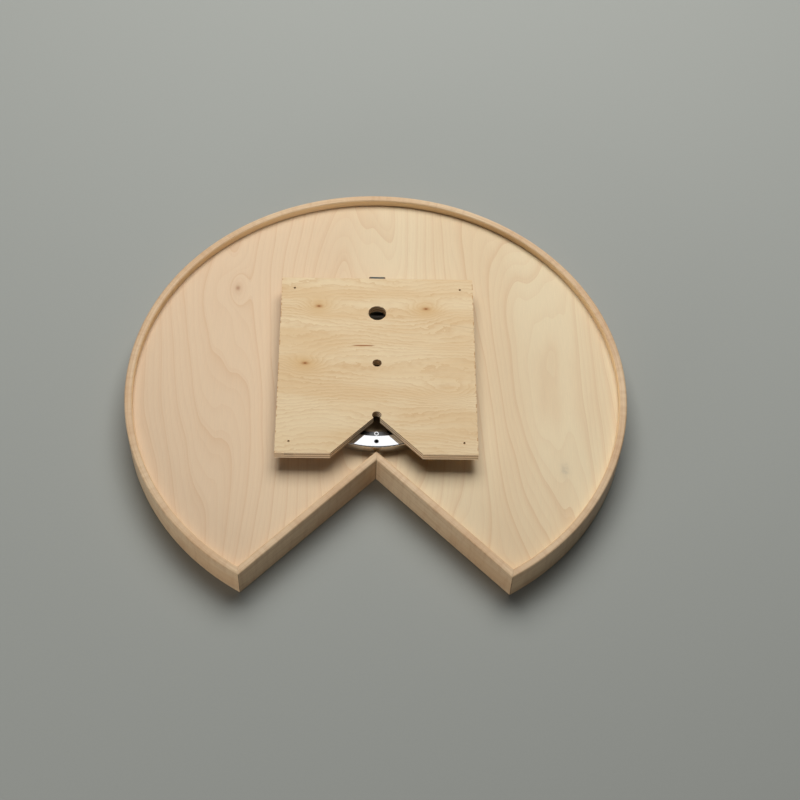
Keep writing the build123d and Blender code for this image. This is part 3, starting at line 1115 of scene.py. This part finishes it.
# %% Both sets of screws
up_low, up_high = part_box("base_ring_screws")
screw_places = 6
step = tau / screw_places
on_arc(
    "plate_screws",
    screw(up_high.z - up_low.z - head_height, "zinc_steel"),
    "zinc_steel",
    "base",
    "base_ring_screws",
    count=screw_places - 1,
    radius=(up_high.x - head_radius) / cos(step / 2),
    first=-pi / 2 + step,
    arc=tau - 2 * step,
    height=up_low.z + head_height,
    turned_over=pi,
)
ear_low, ear_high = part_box("tray_ring_screws")
ear_count = 3
on_arc(
    "tray_screws",
    screw(ear_high.z - ear_low.z - head_height, "zinc_steel"),
    "zinc_steel",
    "tray",
    "tray_ring_screws",
    count=ear_count,
    radius=ear_high.y - head_radius,
    first=pi / 2,
    arc=tau - tau / ear_count,
    height=ear_high.z - head_height,
)

# %% [markdown]
# ## The ball cage
#
# A flat nylon ring keeps the 24 balls apart. Its pockets are cut a little larger than a ball, so
# the cage is a filled outline with a circle at each ball, raised to its thickness.

# %% Grow the cage
cage_low, cage_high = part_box("ball_cage")
ball_low, ball_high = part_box("ball_01")
ball_radius = (ball_high.x - ball_low.x) / 2
ball_circle = (ball_high.x + ball_low.x) / 2
ball_count = sum(name.startswith("ball_") and name != "ball_cage" for name in nodes)
cage_inner = 2 * ball_circle - cage_high.x

cage = Shape(
    "ball_cage",
    {"Balls": "count", "Ball circle": "size", "Pocket": "size", "Outer": "size", "Inner": "size",
     "Foot": "size", "Thickness": "size"},
)
pocket_clearance = 0.00008
hoop_steps, pocket_steps = 192, 28


def hoop(resolution, radius):
    sockets = {"Resolution": resolution, "Radius": radius}
    return cage.node("GeometryNodeCurvePrimitiveCircle", {"mode": "RADIUS"}, sockets)


centres = hoop(cage.input("Balls"), cage.input("Ball circle"))
pockets = cage.step(
    "GeometryNodeInstanceOnPoints", centres, {"Instance": hoop(pocket_steps, cage.input("Pocket"))}
)
pockets = cage.step("GeometryNodeRealizeInstances", pockets)
lines = [hoop(hoop_steps, cage.input(edge)) for edge in ("Outer", "Inner")] + [pockets]
lines = cage.node("GeometryNodeJoinGeometry", None, {"Geometry": lines})
flat_ring = cage.step("GeometryNodeFillCurve", lines, None, {"mode": "TRIANGLES"})
foot = cage.vector(0.0, 0.0, cage.input("Foot"))
flat_ring = cage.step("GeometryNodeTransform", flat_ring, {"Translation": foot})
sockets = {"Offset": (0, 0, 1), "Offset Scale": cage.input("Thickness"), "Individual": False}
raised = cage.step("GeometryNodeExtrudeMesh", flat_ring, sockets, {"mode": "FACES"})
under = cage.step("GeometryNodeFlipFaces", flat_ring)
cage.finish(cage.node("GeometryNodeJoinGeometry", None, {"Geometry": [raised, under]}))

sizes = {
    "Balls": ball_count,
    "Ball circle": ball_circle,
    "Pocket": ball_radius + pocket_clearance,
    "Outer": cage_high.x,
    "Inner": cage_inner,
    "Foot": cage_low.z,
    "Thickness": cage_high.z - cage_low.z,
    "Finish": finishes["cage_nylon"],
}
ball_ring = settle(grow("nylon_cage", cage, sizes))
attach(ball_ring, "cage")
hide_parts("ball_cage")
print("balls", ball_count)

# %% [markdown]
# ## The floor
#
# A plain pale sheet of paper under the rim, wide enough that its edge stays far away. It lies a
# hair below the rim, because two faces in one plane flicker.

# %% The floor
floor_size = 8.0
floor_clear = 0.0002
floor_finish = Finish("floor_paper")
floor_grain = floor_finish.noise(floor_finish.place, 300.0, 3.0)
floor_colour = floor_finish.shade(paint(163, 165, 159)[:3], 0.98 + 0.04 * floor_grain)
floor_material = floor_finish.done({"Base Color": floor_colour, "Roughness": 0.9})
bpy.ops.mesh.primitive_plane_add(size=floor_size, location=(0, 0, rim_low.z - floor_clear))
floor = bpy.context.object
floor.name = "floor"
floor.data.materials.append(floor_material)

# %% [markdown]
# ## The lights
#
# One large soft light stands high behind the turntable, so the near sides of the bands and of the
# plate fall into shade, and the shadows come forward. A small weak panel, low at the front left,
# brightens those shaded faces without lighting the floor much. Polished steel shows whatever
# stands above it, and the key light would burn it out, so both lights are hidden from reflections
# and a glowing card takes their place there. The world adds a little cool light everywhere.


# %% The lights
def soft_light(name, place, aim, size, power):
    """A rectangular softbox at `place`, facing `aim`."""
    data = bpy.data.lights.new(name, "AREA")
    data.shape = "RECTANGLE"
    data.size, data.size_y = size
    data.energy = power
    light = bpy.data.objects.new(name, data)
    light.location = place
    light.rotation_euler = (Vector(aim) - Vector(place)).to_track_quat("-Z", "Y").to_euler()
    bpy.context.scene.collection.objects.link(light)
    print(name, "stands", round(Vector(place).length, 2), "m away, with", power, "W")
    return light


key = soft_light("key", (0.1, 1.55, 2.45), (0.0, 0.0, 0.0), (2.6, 2.0), 98.0)
front_fill = soft_light("front_fill", (-1.35, -2.0, 0.26), (0.0, 0.0, -0.02), (1.2, 0.5), 19.0)
key.visible_glossy = front_fill.visible_glossy = False

# %% The card in the reflections
card_glow = Finish("card_glow")
glow = card_glow.node("ShaderNodeEmission", None, {"Strength": 1.3})
card_glow.node("ShaderNodeOutputMaterial", None, {"Surface": glow})
card_size, card_place, card_tilt = 2.6, (0.0, 1.6, 2.3), (radians(-35), 0, 0)
bpy.ops.mesh.primitive_plane_add(size=card_size, location=card_place, rotation=card_tilt)
card = bpy.context.object
card.name = "mirror_card"
card.data.materials.append(card_glow.material)
card.visible_camera = card.visible_diffuse = card.visible_shadow = False

# %% The light from all round
world = bpy.data.worlds.new("studio")
world.use_nodes = True
sky = world.node_tree.nodes["Background"]
sky.inputs["Color"].default_value = (0.9, 0.95, 1.0, 1.0)
sky.inputs["Strength"].default_value = 0.035
bpy.context.scene.world = world
bpy.context.scene.view_settings.view_transform = "Standard"

# %% [markdown]
# ## The camera
#
# It looks down at the notch from the front, about 55 degrees below level, with a longish lens, so
# that near and far parts differ little in size. It is rolled by a few degrees, as if held in the
# hand. Its matrix is built from three directions: to the right, up, and back from the target.

# %% The camera
eye = Vector((-0.02273, -1.34828, 1.87953))
target = Vector((0.03381, -0.02901, -0.0499))
camera_roll = radians(2.747)
focal_length, sensor_width = 73.42, 36.0
camera_data = bpy.data.cameras.new("camera")
camera_data.lens = focal_length
camera_data.sensor_width = sensor_width
camera = bpy.data.objects.new("camera", camera_data)
bpy.context.scene.collection.objects.link(camera)
back = (eye - target).normalized()
right = Vector((0, 0, 1)).cross(back).normalized()
level_view = Matrix((right, back.cross(right), back)).transposed().to_4x4()
camera.matrix_world = Matrix.Translation(eye) @ level_view @ Matrix.Rotation(camera_roll, 4, "Z")
bpy.context.scene.camera = camera
print("camera", round((eye - target).length, 3), "m from its target")
